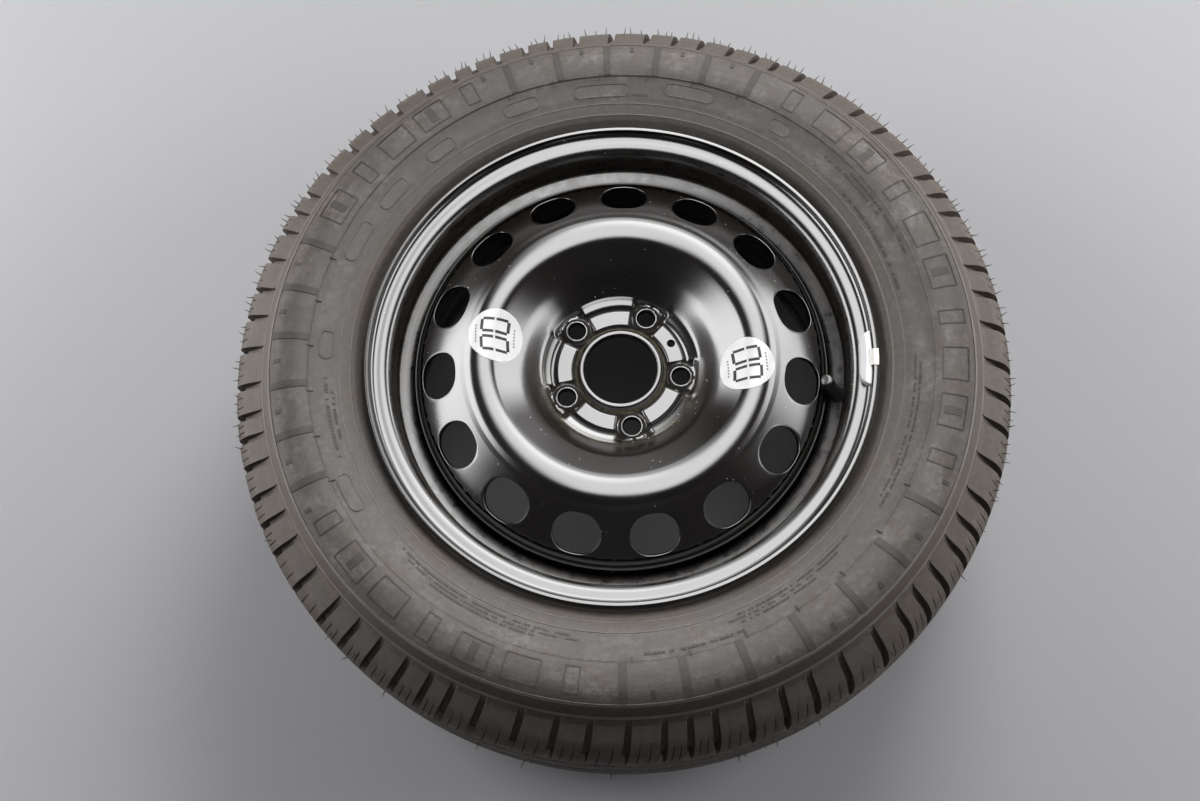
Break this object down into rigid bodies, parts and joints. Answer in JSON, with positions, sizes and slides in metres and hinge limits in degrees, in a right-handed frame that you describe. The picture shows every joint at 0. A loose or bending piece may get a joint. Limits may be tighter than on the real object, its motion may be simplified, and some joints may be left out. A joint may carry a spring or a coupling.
{
  "type": "spare wheel",
  "caption": "Van spare wheel: black pressed steel disc wheel with oval vents, radial tyre, snap-in valve and clip-on balance weight, lying flat on its inboard side.",
  "frame": {"origin": "centre of the centre bore in the plane of the hub mounting face", "axes": "+Z along the wheel's axis towards the outboard face, which looks up; +X towards the valve, a bolt hole and a ventilation hole"},
  "size_m": [0.6857, 0.6858, 0.221],
  "materials": {
    "tyre_rubber": "matte moulded rubber",
    "black_paint": "gloss black coated steel",
    "weld_metal": "coated weld bead",
    "valve_rubber": "smooth black rubber",
    "brass": "turned brass",
    "seal": "soft seal",
    "spring_steel": "drawn wire",
    "cap_plastic": "moulded black plastic",
    "weight_coating": "pale grey coating",
    "clip_coating": "pale coated spring steel",
    "sticker_film": "printed white film"
  },
  "bodies": {
    "wheel": {"tyre": "tyre_rubber", "rim": "black_paint", "disc": "black_paint", "disc_welds": "weld_metal", "valve_rubber": "valve_rubber", "valve_stem": "brass", "core_plug": "brass", "core_barrel": "brass", "core_seal": "seal", "core_spring": "spring_steel", "weight_body": "weight_coating", "weight_clip": "clip_coating", "sticker_left": "sticker_film", "sticker_right": "sticker_film"},
    "core_pin": {"core_pin": "brass", "pin_seal": "seal"},
    "valve_cap": {"valve_cap": "cap_plastic", "cap_seal": "seal"}
  },
  "joints": [
    {"name": "pin_press", "type": "slide", "parent": "wheel", "child": "core_pin", "axis": [0.4067, 0, -0.9135], "range_m": [0, 0.0012], "stiffness_N_per_m": 800, "springref_m": -0.002, "deforming": ["core_spring"]},
    {"name": "cap_off", "type": "slide", "parent": "wheel", "child": "valve_cap", "axis": [-0.4067, 0, 0.9135], "range_m": [0, 0.014]}
  ]
}
